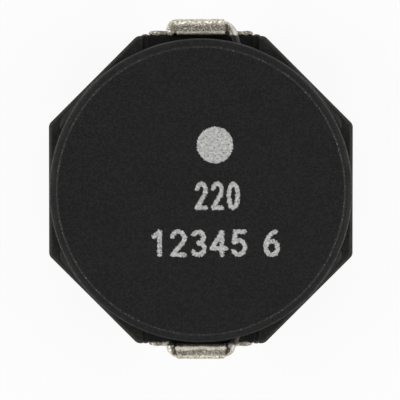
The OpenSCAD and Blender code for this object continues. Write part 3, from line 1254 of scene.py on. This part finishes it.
@dataclass
class ShieldRing:
    """The octagonal ferrite ring with its two wire notches."""

    low_z: float = 0.16
    height: float = 4.7
    width_x: float = 12.14
    width_y: float = 12.3
    width_diagonal: float = 12.3
    corner_round: float = 0.11
    chamfer: float = 0.12
    bore_r: float = 5.05
    bore_steps: int = 192
    notch_w: float = 4.65
    notch_depth: float = 1.2
    notch_r: float = 0.25
    edge_round: float = 0.022
    flare: float = 0.5
    cutter_y: float = 5.6
    cutter_l: float = 5.0
    cutter_over: float = 1.0
    weld_gap: float = 0.002
    level_deg: float = 0.4
    sharp_deg: float = 28.0

    @property
    def top_z(self) -> float:
        """Height of the ring's top."""
        return self.low_z + self.height

    def _block(self) -> Piece:
        """Octagonal block with worn corners and chamfered ends.

        Returns:
            The block.
        """
        middle = (0.0, 0.0, self.low_z + self.height / 2)
        block = Bench.block("ring", middle, (self.width_x, self.width_y, self.height))
        Bench.edit(block)
        for side_x in (-1.0, 1.0):
            for side_y in (-1.0, 1.0):
                outward = Vector((side_x, side_y, 0.0)).normalized()
                flat = outward * (self.width_diagonal / 2)
                bpy.ops.mesh.select_all(action="SELECT")
                bpy.ops.mesh.bisect(
                    plane_co=flat, plane_no=outward, use_fill=True, clear_outer=True
                )
        Bench.select("EDGE", lambda middle, along: abs(along.z) > ALONG)
        bpy.ops.mesh.bevel(offset=self.corner_round, segments=3, affect="EDGES")
        ends = (self.low_z, self.top_z)
        Bench.select("EDGE", lambda middle, along: any(abs(middle.z - z) < TOUCH for z in ends))
        bpy.ops.mesh.bevel(offset=self.chamfer, segments=1, affect="EDGES")
        bpy.ops.object.mode_set(mode="OBJECT")
        return block

    def _bore_cutter(self) -> Piece:
        """Cylinder that flares at both ends, for the bore and its chamfers.

        Returns:
            The cutter.
        """
        past = self.chamfer + self.flare
        low, top = self.low_z + self.chamfer, self.top_z - self.chamfer
        wide = self.bore_r + past
        profile = [
            (0.0, low - past),
            (wide, low - past),
            (self.bore_r, low),
            (self.bore_r, top),
            (wide, top + past),
            (0.0, top + past),
        ]
        return Bench.lathe("bore cutter", profile, self.bore_steps)

    def _notch_cutter(self, end: End) -> Piece:
        """Block with two round lower edges, for the notch at one end.

        Args:
            end: End of the part.

        Returns:
            The cutter.
        """
        floor_z = self.top_z - self.notch_depth
        depth = self.notch_depth + self.cutter_over
        middle = (0.0, end.value * self.cutter_y, floor_z + depth / 2)
        cutter = Bench.block("notch cutter", middle, (self.notch_w, self.cutter_l, depth))
        Bench.edit(cutter)
        Bench.select("EDGE", lambda m, along: abs(along.y) > ALONG and m.z < floor_z + TOUCH)
        bpy.ops.mesh.bevel(offset=self.notch_r, segments=6, affect="EDGES")
        bpy.ops.object.mode_set(mode="OBJECT")
        return cutter

    def build(self) -> list[Piece]:
        """Cuts the bore and the notches from the block and rounds the edges.

        Returns:
            The ring.
        """
        ring = self._block()
        cutters = [self._bore_cutter(), *(self._notch_cutter(end) for end in End)]
        for cutter in cutters:
            Bench.merge(ring, "DIFFERENCE", cutter)
        Bench.edit(ring)
        bpy.ops.mesh.select_all(action="SELECT")
        bpy.ops.mesh.remove_doubles(threshold=self.weld_gap)
        bpy.ops.mesh.select_all(action="SELECT")
        bpy.ops.mesh.dissolve_limited(angle_limit=math.radians(self.level_deg))
        bpy.ops.object.mode_set(mode="OBJECT")
        Bench.modifier(
            ring,
            "BEVEL",
            width=self.edge_round,
            segments=2,
            limit_method="ANGLE",
            angle_limit=math.radians(self.sharp_deg),
            use_clamp_overlap=True,
        )
        Bench.finish(ring, 35.0, weighted=True)
        Bench.fit(ring, RingFerrite("fired ferrite"), "ring_ferrite", "shield_ring")
        return [ring]


@dataclass
class Winding:
    """The enamelled wire: two layers on the post and a lead to each clip."""

    wire_r: float = 0.19
    inner_r: float = 3.25
    outer_r: float = 3.68
    top_z: float = 4.65
    low_z: float = 1.31
    turns: int = 8
    lead_z: float = 4.15
    fold_y: float = 6.51
    tongue_half: float = 0.95
    tail_r: float = 0.24
    elbow_back: float = 0.33
    elbow_front: float = 0.26
    layer_change: float = 90.0
    rings_per_turn: int = 56
    run_rings: int = 12
    sides: int = 3

    def arrival(self, elbow: float, layer_r: float) -> float:
        """Angle at which a lead from its elbow meets the layer, in degrees.

        Args:
            elbow: Radius of the elbow.
            layer_r: Radius of the layer.

        Returns:
            The angle.
        """
        cx, cy = self.tongue_half, self.fold_y - elbow
        toward = math.degrees(math.atan2(-cy, -cx))
        return toward + math.degrees(math.asin((layer_r - elbow) / math.hypot(cx, cy))) + 90.0

    def lead(self, elbow: float, layer_r: float, layer_z: float) -> list[Point]:
        """Wire from its cut end through the fold, round the elbow and on to its layer.

        Args:
            elbow: Radius of the elbow.
            layer_r: Radius of the layer that the lead joins.
            layer_z: Height at which it joins.

        Returns:
            Points along the wire, the layer's own left out.
        """
        a = self.arrival(elbow, layer_r)
        side, y, r = self.tongue_half, self.fold_y, self.tail_r
        bends = arc(-side, y - r, r, r, 180, 90, 8) + arc(side, y - elbow, elbow, elbow, 90, a, 16)
        start = (*bends[-1], self.lead_z)
        stop = self.at(layer_r, a, layer_z)
        run = []
        for s in (i / self.run_rings for i in range(1, self.run_rings)):
            shares = (s, s, s * (2 - s))
            run.append(tuple(p + (q - p) * share for p, q, share in zip(start, stop, shares)))
        return [(x, y, self.lead_z) for x, y in bends] + run

    @staticmethod
    def at(r: float, degrees: float, z: float) -> Point:
        """Point at a radius, an angle and a height."""
        return (r * math.cos(math.radians(degrees)), r * math.sin(math.radians(degrees)), z)

    def path(self) -> list[Point]:
        """The wire from end to end: down in the inner layer and up again in the outer one.

        Returns:
            Points along the wire.
        """
        join = self.arrival(self.elbow_back, self.inner_r)
        leave = -self.arrival(self.elbow_front, self.outer_r)
        pitch = (self.top_z - self.low_z) / self.turns
        turned = join - self.layer_change
        sweep = (turned - leave) % 360.0 + 360.0 * (self.turns - 2)
        out_top = self.low_z + pitch * sweep / 360.0
        at, n = self.at, self.rings_per_turn
        inner = [
            at(self.inner_r, join - 360.0 * i / n, self.top_z - pitch * i / n)
            for i in range(self.turns * n + 1)
        ]
        steps, count = n // 4, math.ceil(sweep * n / 360.0)
        change = []
        for s in (i / steps for i in range(1, steps)):
            r = self.inner_r + (self.outer_r - self.inner_r) * (s * s * (3 - 2 * s))
            change.append(at(r, join - self.layer_change * s, self.low_z))
        outer = [
            at(self.outer_r, turned - sweep * s, self.low_z + (out_top - self.low_z) * s)
            for s in (i / count for i in range(count + 1))
        ]
        back = self.lead(self.elbow_back, self.inner_r, self.top_z)
        front = [(x, -y, z) for x, y, z in self.lead(self.elbow_front, self.outer_r, out_top)]
        return back + inner + change + outer + front[::-1]

    def build(self) -> list[Piece]:
        """Draws the wire as a curve with a round section and makes it a mesh.

        Returns:
            The winding.
        """
        wire = Bench.rod("wire", [(*p, self.wire_r) for p in self.path()], self.sides)
        Bench.finish(wire, 50.0)
        Bench.fit(wire, EnamelledCopper("enamelled copper"), "enamelled_copper", "winding")
        return [wire]


@dataclass
class Clip:
    """A tinned strip clip with its tongue folded over the wire, and the solder in the fold."""

    half_w: float = 2.1
    tongue_half: float = 0.95
    strip_t: float = 0.12
    riser_y: float = 6.19
    foot_l: float = 2.3
    bend_r: float = 0.1
    shoulder_z: float = 3.6
    shoulder_r: float = 0.3
    tip_r: float = 0.2
    tip_l: float = 0.34
    fold_r: float = 0.2
    fold_z: float = 4.15
    wire_r: float = 0.19
    tail_r: float = 0.24
    elbow_back: float = 0.33
    elbow_front: float = 0.26
    coat: float = 0.008
    voxel: float = 0.034
    roll_r: float = 0.098
    foot_flat: float = 0.03
    tight_bend: float = 4.5
    loose_bend: float = 2.6
    press_over: float = 0.16
    press_fade: float = 0.12
    corner_share: float = 0.75
    roll_out: float = 0.072
    roll_down: float = 0.05
    roll_uneven: float = 0.012
    drop_skin: float = 0.012
    drop_run: tuple[tuple[float, float, float], ...] = (
        (90.0, 1.0, 0.0),
        (74.0, 1.0, 0.0),
        (56.0, 0.85, -0.01),
        (36.0, 0.6, -0.03),
        (14.0, 0.35, -0.08),
    )
    fill_run: tuple[tuple[float, float], ...] = (
        (86.0, 0.052),
        (74.0, 0.034),
        (62.0, 0.018),
        (50.0, 0.008),
        (40.0, -0.006),
    )

    @property
    def fold_y(self) -> float:
        """Place of the fold's axis."""
        return self.riser_y + self.strip_t + self.fold_r

    @property
    def most_y(self) -> float:
        """Reach of the fold."""
        return self.fold_y + self.fold_r + self.strip_t

    def _sheet(self) -> Piece:
        """Folded sheet through the middle of the strip, for the back end.

        Returns:
            The bare strip.
        """
        mid = self.strip_t / 2
        foot_end = self.riser_y + self.strip_t - self.foot_l
        bend_mid = self.bend_r + mid
        bend_y = self.riser_y + mid - bend_mid
        shoulder = self.shoulder_z - TOUCH
        Bench.clear()
        bpy.ops.mesh.primitive_plane_add(size=1.0, location=(0.0, (foot_end + bend_y) / 2, mid))
        sheet = Bench.named("clip_back")
        sheet.scale = (2 * self.half_w, bend_y - foot_end, 1.0)
        bpy.ops.object.transform_apply()
        Bench.edit(sheet)
        for x in (-self.tongue_half, self.tongue_half):
            bpy.ops.mesh.select_all(action="SELECT")
            bpy.ops.mesh.bisect(plane_co=(x, 0.0, 0.0), plane_no=(1.0, 0.0, 0.0))
        self._take(lambda m: abs(m.y - bend_y) < TOUCH)
        self._spin(90.0, bend_y, mid + bend_mid, 6)
        Bench.extrude((0.0, 0.0, self.shoulder_z - mid - bend_mid))
        self._take(lambda m: m.z > shoulder and abs(m.x) < self.tongue_half)
        Bench.extrude((0.0, 0.0, self.fold_z - self.shoulder_z))
        self._spin(-180.0, self.fold_y, self.fold_z, 12)
        Bench.extrude((0.0, 0.0, -self.tip_l))
        self._round(
            lambda p: abs(abs(p.x) - self.half_w) < TOUCH and p.z > shoulder, self.shoulder_r
        )
        tip_y, tip_z = self.fold_y + self.fold_r, self.fold_z - self.tip_l + TOUCH
        self._round(lambda p: p.y > tip_y and p.z < tip_z, self.tip_r)
        Bench.close(TOUCH)
        bare = self.strip_t - 2 * self.coat
        Bench.modifier(sheet, "SOLIDIFY", thickness=bare, offset=0.0, use_even_offset=True)
        return sheet

    @staticmethod
    def _take(test: Callable[[Vector], bool]) -> None:
        """Selects edges of the sheet that run across it, by their middle."""
        Bench.select("EDGE", lambda middle, along: abs(along.x) > ALONG and test(middle))

    @staticmethod
    def _spin(angle: float, y: float, z: float, steps: int) -> None:
        """Bends the selected edge on round an axis along X."""
        turn = -math.radians(angle)
        bpy.ops.mesh.spin(steps=steps, angle=turn, center=(0.0, y, z), axis=(1.0, 0.0, 0.0))

    def _round(self, test: Callable[[Vector], bool], radius: float) -> None:
        """Rounds corners of the sheet."""
        Bench.select("VERT", lambda point, normal: test(point))
        bpy.ops.mesh.bevel(offset=radius * self.corner_share, segments=5, affect="VERTICES")

    def _roll(self, side: float, end: End) -> list[Spot]:
        """Solder that has run along the top of one shoulder.

        Args:
            side: 1 or -1, for the side of the tongue.
            end: End of the part.

        Returns:
            The line of the solder, from the strip's edge to the tongue.
        """
        y = end.value * (self.riser_y + self.roll_out)
        top = self.shoulder_z - self.roll_down
        swell = self.roll_uneven * end.value * side
        run = (
            (self.half_w - 0.05, -0.32, 0.066),
            (self.half_w - 0.10, -0.14, 0.086),
            (self.half_w - 0.26, -0.03, self.roll_r + 0.010),
            (self.half_w - 0.48, 0.0, self.roll_r - 0.008 - swell),
            (self.half_w - 0.78, 0.0, self.roll_r + 0.006 + swell),
            (self.tongue_half + 0.12, 0.01, self.roll_r - 0.012),
            (self.tongue_half - 0.15, 0.02, 0.06),
        )
        return [(side * x, y, top + up, r) for x, up, r in run]

    def _bent(self, bend: float, degrees: float) -> tuple[float, float]:
        """Place on the middle of the wire's bend beside the tongue, at the back end."""
        t = math.radians(degrees)
        return (self.tongue_half + bend * math.cos(t), self.fold_y - bend + bend * math.sin(t))

    def _drop(self, side: float, end: End, bend: float, fat: float) -> list[Spot]:
        """Solder round the wire where it leaves the fold, run down to the shoulder.

        Args:
            side: 1 or -1, for the side of the tongue.
            end: End of the part.
            bend: Radius of the wire's bend there.
            fat: How far the solder stands over the wire at the fold.

        Returns:
            The line of the drop.
        """
        line = [(self.tongue_half - 0.16, self.fold_y, self.fold_z, self.fold_r + 0.08)]
        for degrees, share, sink in self.drop_run:
            x, y = self._bent(bend, degrees)
            thick = self.wire_r + self.drop_skin + fat * share
            line.append((x, y + fat * 0.5 * share, self.fold_z + sink, thick))
        root = self.tongue_half + bend * 0.92
        line.append((root, self.riser_y + 0.09, self.fold_z - 0.30, 0.15))
        line.append((root, self.riser_y + 0.07, self.shoulder_z - 0.03, 0.11))
        return [(side * x, end.value * y, z, r) for x, y, z, r in line]

    def _coat(self, sheet: Piece, end: End, lines: Sequence[Sequence[Spot]]) -> Piece:
        """Flows solder over the strip, along its shoulders and round its fold.

        Args:
            sheet: The bare strip at its own end.
            end: End of the part.
            lines: Where the solder has run.

        Returns:
            The coated clip, still in millimetres.
        """
        clip = Bench.join([sheet, *(Bench.rod("run", line, 6) for line in lines)])
        Bench.modifier(clip, "REMESH", mode="VOXEL", voxel_size=self.voxel, use_smooth_shade=True)
        Bench.modifier(clip, "SMOOTH", factor=0.5, iterations=3)
        Bench.lumps(clip, size=0.34, depth=0.016, low_z=0.2, full_z=0.8)
        self._press(clip, end)
        Bench.lumps(clip, size=0.15, depth=0.032, low_z=3.25, full_z=3.55)
        top = self.fold_z + self.fold_r + self.strip_t
        for v in clip.data.vertices:
            v.co.y = end.value * min(end.value * v.co.y, self.most_y)
            v.co.z = 0.0 if v.co.z < self.foot_flat else min(v.co.z, top)
        return clip

    def _press(self, clip: Piece, end: End) -> None:
        """Presses the crown of the fold flat, with a tight bend on the side towards the drum.

        Args:
            clip: The coated clip, in millimetres.
            end: End of the part.
        """
        for v in clip.data.vertices:
            across, up = end.value * v.co.y - self.fold_y, v.co.z - self.fold_z
            reach = math.hypot(across, up)
            if up <= 0.0 or reach < 0.05:
                continue
            power = self.tight_bend if across < 0.0 else self.loose_bend
            square = ((abs(across) / reach) ** power + (up / reach) ** power) ** (-1.0 / power)
            inside = (self.tongue_half + self.press_over - abs(v.co.x)) / self.press_fade
            share = 1.0 + (square - 1.0) * max(0.0, min(1.0, inside))
            v.co.y = end.value * (self.fold_y + across * share)
            v.co.z = self.fold_z + up * share

    def _fill(self, end: End, elbow: float) -> Piece:
        """Solder between the wire and the fold, thinning out along the elbow.

        Args:
            end: End of the part.
            elbow: Bend radius of the wire's elbow at this end.

        Returns:
            The solder, still in millimetres.
        """
        half, y, z = self.tongue_half, self.fold_y, self.fold_z
        inside = self.fold_r - 0.003
        line = [
            (-half + 0.02, y, z, inside - 0.02),
            (-half + 0.05, y, z, inside),
            (half - 0.05, y, z, inside),
            (half - 0.01, y + 0.01, z, inside + 0.05),
        ]
        for degrees, over in self.fill_run:
            line.append((*self._bent(elbow, degrees), z, self.wire_r + over))
        line = [(px, end.value * py, pz, r) for px, py, pz, r in line]
        fill = Bench.rod(f"solder_{end.word}_fill", line, 10)
        Bench.soften(fill)
        return fill

    def build(self) -> list[Piece]:
        """Folds the clip, copies it to the front, coats both and fills their folds with solder.

        Returns:
            The two clips, each followed by its solder.
        """
        back = self._sheet()
        front = Bench.copy(back, "clip_front", (1.0, -1.0, 1.0))
        runs = {
            End.BACK: [self._drop(-1.0, End.BACK, self.tail_r, 0.075)],
            End.FRONT: [
                self._drop(-1.0, End.FRONT, self.tail_r, 0.030),
                self._drop(1.0, End.FRONT, self.elbow_front, 0.022),
            ],
        }
        elbows = {End.BACK: self.elbow_back, End.FRONT: self.elbow_front}
        made = []
        for sheet, end in ((back, End.BACK), (front, End.FRONT)):
            rolls = [self._roll(side, end) for side in (-1.0, 1.0)]
            clip = self._coat(sheet, end, [*rolls, *runs[end]])
            Bench.finish(clip, 60.0)
            Bench.fit(clip, SolderCoat("solder coat"), "tinned_strip", f"terminal_{end.word}")
            fill = self._fill(end, elbows[end])
            Bench.finish(fill, 60.0)
            fresh = SolderCoat("fresh solder", pit_from=0.58)
            Bench.fit(fill, fresh, "solder", f"solder_{end.word}")
            made += [clip, fill]
        return made


@dataclass
class GlueLine:
    """The adhesive between a clip's riser and the ring, squeezed out along the strip's edges."""

    film_half: float = 2.17
    edge_x: float = 2.235
    flat_y: float = 6.15
    riser_y: float = 6.19
    low_z: float = 0.40
    top_z: float = 3.42
    lip_z: float = 3.69
    half_w: float = 0.170
    stand_back: float = 0.070
    stand_front: float = 0.108
    out: float = 0.007
    below: float = 0.07
    swell: tuple[tuple[float, float], ...] = (
        (0.0, 0.40),
        (0.06, 0.64),
        (0.25, 0.78),
        (0.46, 0.66),
        (0.68, 0.84),
        (0.86, 0.98),
        (0.975, 1.0),
        (1.0, 0.78),
    )

    def _film(self, end: End) -> Piece:
        """Film behind the riser.

        Args:
            end: End of the part.

        Returns:
            The film.
        """
        middle_y, middle_z = (self.flat_y + self.riser_y) / 2, (self.low_z + self.top_z) / 2
        size = (2 * self.film_half, self.riser_y - self.flat_y, self.top_z - self.low_z)
        return Bench.block(f"adhesive_{end.word}", (0.0, end.value * middle_y, middle_z), size)

    def _squeeze(self, side: float, end: End, stand: float) -> Piece:
        """Adhesive that has come out along one edge of the strip.

        Args:
            side: 1 or -1, for the edge.
            end: End of the part.
            stand: How far the adhesive stands off the flat.

        Returns:
            The bead, in millimetres.
        """
        spread = self.half_w / stand
        foot = self.low_z - self.below
        span = self.lip_z - foot
        x, y = side * self.edge_x / spread, end.value * (self.flat_y + self.out)
        line = [(x, y, foot + span * share, stand * part) for share, part in self.swell]
        bead = Bench.rod("squeeze", line, 4)
        bead.scale = (spread, 1.0, 1.0)
        bpy.ops.object.transform_apply()
        Bench.soften(bead)
        Bench.lumps(bead, size=0.30, depth=0.026, low_z=0.5, full_z=0.9)
        return bead

    def build(self) -> list[Piece]:
        """Spreads a film at each end and joins what has come out of it.

        Returns:
            The two films.
        """
        made = []
        for end, stand in ((End.BACK, self.stand_back), (End.FRONT, self.stand_front)):
            film = self._film(end)
            for side in (-1.0, 1.0):
                Bench.merge(film, "UNION", self._squeeze(side, end, stand))
            Bench.clean(film, 0.003)
            Bench.finish(film, 50.0)
            adhesive = ClipAdhesive("clip adhesive")
            Bench.fit(film, adhesive, "clip_adhesive", f"clip_glue_{end.word}")
            made.append(film)
        return made


@dataclass
class Beads:
    """The epoxy beads between the ring's top and the wide flange."""

    ring_z: float = 4.86
    rim_r: float = 6.05
    film_r: float = 5.29
    film_t: float = 0.036
    height: float = 0.30
    width: float = 0.36
    thinnest: float = 0.03
    lap: float = 0.02
    waves: float = 19.0
    wave_start: float = 0.6
    wave_share: float = 0.20
    taper: float = 2.2
    taper_round: float = 0.6
    arc: float = 30.0
    angle: float = 38.0
    steps: int = 64
    ring_half_x: float = 6.07
    ring_half_diagonal: float = 6.15
    ring_chamfer: float = 0.10
    corners: tuple[tuple[str, float, float], ...] = (
        ("back_right", 1.0, 1.0),
        ("back_left", -1.0, 1.0),
        ("front_left", -1.0, -1.0),
        ("front_right", 1.0, -1.0),
    )

    def _profile(self) -> Line:
        """Closed section of a bead and of the film that runs in under the flange.

        Returns:
            Pairs of radius and height.
        """
        low, top = self.ring_z + 0.002, self.ring_z + self.height
        return [
            (self.film_r, low),
            (self.rim_r + self.width, low),
            (self.rim_r + self.width * 0.45, self.ring_z + self.height * 0.16),
            (self.rim_r + self.width * 0.16, self.ring_z + self.height * 0.5),
            (self.rim_r + 0.004, top),
            (self.rim_r - self.lap, top),
            (self.rim_r - self.lap, self.ring_z + self.film_t),
            (self.film_r, self.ring_z + self.film_t),
            (self.film_r, low),
        ]

    def _ledge(self, turn: float) -> float:
        """Width of the bead on the ring's top, which stops short of the ring's chamfers.

        Args:
            turn: Direction from the axis, in radians from the nearer X side.

        Returns:
            The width in millimetres.
        """
        flat_x = self.ring_half_x / max(0.1, math.cos(turn))
        flat_diagonal = self.ring_half_diagonal / math.cos(turn - math.pi / 4)
        free = min(flat_x, flat_diagonal) - self.ring_chamfer - self.rim_r
        return max(self.thinnest, min(self.width, free))

    def _thin(self, bead: Piece) -> None:
        """Thins the bead out towards its ends and makes its height wave.

        Args:
            bead: The bead as it was turned.
        """
        middle = math.radians(self.arc / 2)
        rim, film = self.rim_r + 0.004, self.ring_z + 0.04
        for v in bead.data.vertices:
            turn = math.atan2(v.co.y, v.co.x)
            away = abs(turn - middle) / middle
            wave = self.wave_share * (math.sin(turn * self.waves + self.wave_start) - 1.0)
            share = max(0.0, 1.0 - away**self.taper) ** self.taper_round * (1.0 + wave)
            ledge = self._ledge(turn + math.radians(self.angle) - middle)
            radius = v.co.xy.length
            if radius > self.rim_r:
                grown = rim + (radius - rim) * share * ledge / self.width
                v.co.x, v.co.y = grown * math.cos(turn), grown * math.sin(turn)
            if v.co.z > film:
                v.co.z = film + (v.co.z - film) * share

    def build(self) -> list[Piece]:
        """Turns one bead, thins its ends and copies it to the four corners.

        Returns:
            The four beads.
        """
        bead = Bench.lathe("bead", self._profile(), self.steps, self.arc)
        Bench.edit(bead)
        bpy.ops.mesh.select_non_manifold(extend=False)
        bpy.ops.mesh.edge_face_add()
        Bench.close()
        self._thin(bead)
        bead.rotation_euler = (0.0, 0.0, math.radians(self.angle - self.arc / 2))
        bpy.ops.object.transform_apply()
        made = []
        for corner, flip_x, flip_y in self.corners:
            copy = Bench.copy(bead, f"epoxy_{corner}", (flip_x, flip_y, 1.0))
            Bench.clean(copy, 0.001)
            Bench.finish(copy, 50.0)
            Bench.fit(copy, Epoxy("cured epoxy"), "epoxy", f"bead_{corner}")
            made.append(copy)
        bpy.data.objects.remove(bead, do_unlink=True)
        return made


# ---------------------------------------------------------------- studio


@dataclass
class Studio:
    """Pale floor, soft lamps and the camera."""

    aim: Point = (-0.034, -0.398, 4.86)
    distance: float = 135.0
    tilt: float = 2.5
    width: float = 15.974
    sensor: float = 36.0
    floor_half: float = 400.0
    panel_size: float = 150.0
    panel_far: float = 170.0
    panels: tuple[tuple[str, float, float, float], ...] = (
        ("panel left", 180.0, 36.0, 0.110),
        ("panel right", 0.0, 36.0, 0.110),
        ("panel back", 90.0, 40.0, 0.075),
        ("panel front", 270.0, 40.0, 0.075),
    )

    def build(self) -> None:
        """Sets up the floor, the world, the lamps and the camera."""
        self._floor()
        self._world()
        for panel in self.panels:
            self._lamp(*panel)
        self._camera()

    def _floor(self) -> None:
        """Pale floor that is white to the eye and keeps the shadow."""
        Bench.clear()
        bpy.ops.mesh.primitive_plane_add(size=2 * self.floor_half * MM, location=(0.0, 0.0, 0.0))
        floor = Bench.named("floor")
        material = bpy.data.materials.new("floor paper")
        graph = Graph(material)
        paper = {"Color": (0.93, 0.93, 0.93, 1.0)}
        light = {"Color": (1.0, 1.0, 1.0, 1.0), "Strength": 1.0}
        pale = graph.add("ShaderNodeBsdfDiffuse", {}, paper, "BSDF")
        glow = graph.add("ShaderNodeEmission", {}, light, "Emission")
        straight, mirrored = self._rays(graph)
        lit = self._mix(graph, straight.most(mirrored) * 0.90, pale, glow)
        below = graph.add("ShaderNodeNewGeometry", {}, {}, "Backfacing")
        clear = graph.add("ShaderNodeBsdfTransparent", {}, {}, "BSDF")
        graph.end(self._mix(graph, below, lit, clear))
        floor.data.materials.append(material)

    @staticmethod
    def _mix(graph: Graph, share: Signal, low: Signal, high: Signal) -> Signal:
        """Shader that goes from low to high with the share."""
        inputs = {"Fac": share, "Shader": low, "Shader_001": high}
        return graph.add("ShaderNodeMixShader", {}, inputs, "Shader")

    @staticmethod
    def _rays(graph: Graph) -> tuple[Signal, Signal]:
        """1 for straight rays, and 1 for the rays that are mirrored or go through glass."""
        straight = graph.add("ShaderNodeLightPath", {}, {}, "Is Camera Ray")
        return straight, straight.out("Is Glossy Ray").most(straight.out("Is Transmission Ray"))

    def _world(self) -> None:
        """White backdrop to the eye, softer light on the object."""
        world = bpy.data.worlds.new("studio")
        bpy.context.scene.world = world
        graph = Graph(world)
        _, _, up = graph.axes(graph.add("ShaderNodeTexCoord", {}, {}, "Generated"))
        straight, mirrored = self._rays(graph)
        dome = graph.slide(mirrored, 0.50, 1.0) * (1.0 - up.rise(0.50, 0.82) * 0.84)
        light = {"Color": (1.0, 1.0, 1.0, 1.0), "Strength": straight.most(dome)}
        backdrop = graph.add("ShaderNodeBackground", {}, light, "Background")
        graph.end(backdrop, "ShaderNodeOutputWorld")

    def _lamp(self, name: str, azimuth: float, elevation: float, power: float) -> None:
        """Hangs one soft panel, turned towards the object.

        Args:
            name: Name of the lamp.
            azimuth: Its direction from the object, in degrees.
            elevation: Its angle over the floor, in degrees.
            power: Its power in watts.
        """
        a, e = math.radians(azimuth), math.radians(elevation)
        toward = Vector((math.cos(a) * math.cos(e), math.sin(a) * math.cos(e), math.sin(e)))
        spot = toward * (self.panel_far * MM)
        Bench.clear()
        bpy.ops.object.light_add(type="AREA", location=spot)
        lamp = Bench.named(name)
        lamp.data.energy = power
        lamp.data.shape = "DISK"
        lamp.data.size = self.panel_size * MM
        lamp.rotation_euler = (-spot).to_track_quat("-Z", "Y").to_euler()

    def _camera(self) -> None:
        """Long lens from above, leaning a little to the back."""
        Bench.clear()
        bpy.ops.object.camera_add()
        camera = Bench.named("camera")
        t = math.radians(self.tilt)
        back = Vector((0.0, math.sin(t), math.cos(t)))
        camera.location = Vector(self.aim) * MM + back * (self.distance * MM)
        camera.rotation_euler = (-t, 0.0, 0.0)
        camera.data.sensor_width = self.sensor
        camera.data.lens = self.sensor * self.distance / self.width
        camera.data.clip_start = 0.001
        camera.data.clip_end = 5.0
        scene = bpy.context.scene
        scene.camera = camera
        scene.view_settings.view_transform = "Standard"


def main() -> None:
    """Builds the sub-assemblies in order, reports each piece and sets up the studio."""
    logging.basicConfig(level=logging.INFO, format="%(name)s: %(message)s")
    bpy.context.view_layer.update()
    for assembly in (DrumCore(), ShieldRing(), Winding(), Clip(), Beads(), GlueLine()):
        for piece in assembly.build():
            maker, faces = type(assembly).__name__, len(piece.data.polygons)
            LOG.info("%s made %s with %d faces", maker, piece.name, faces)
    Studio().build()


if __name__ == "__main__":
    main()
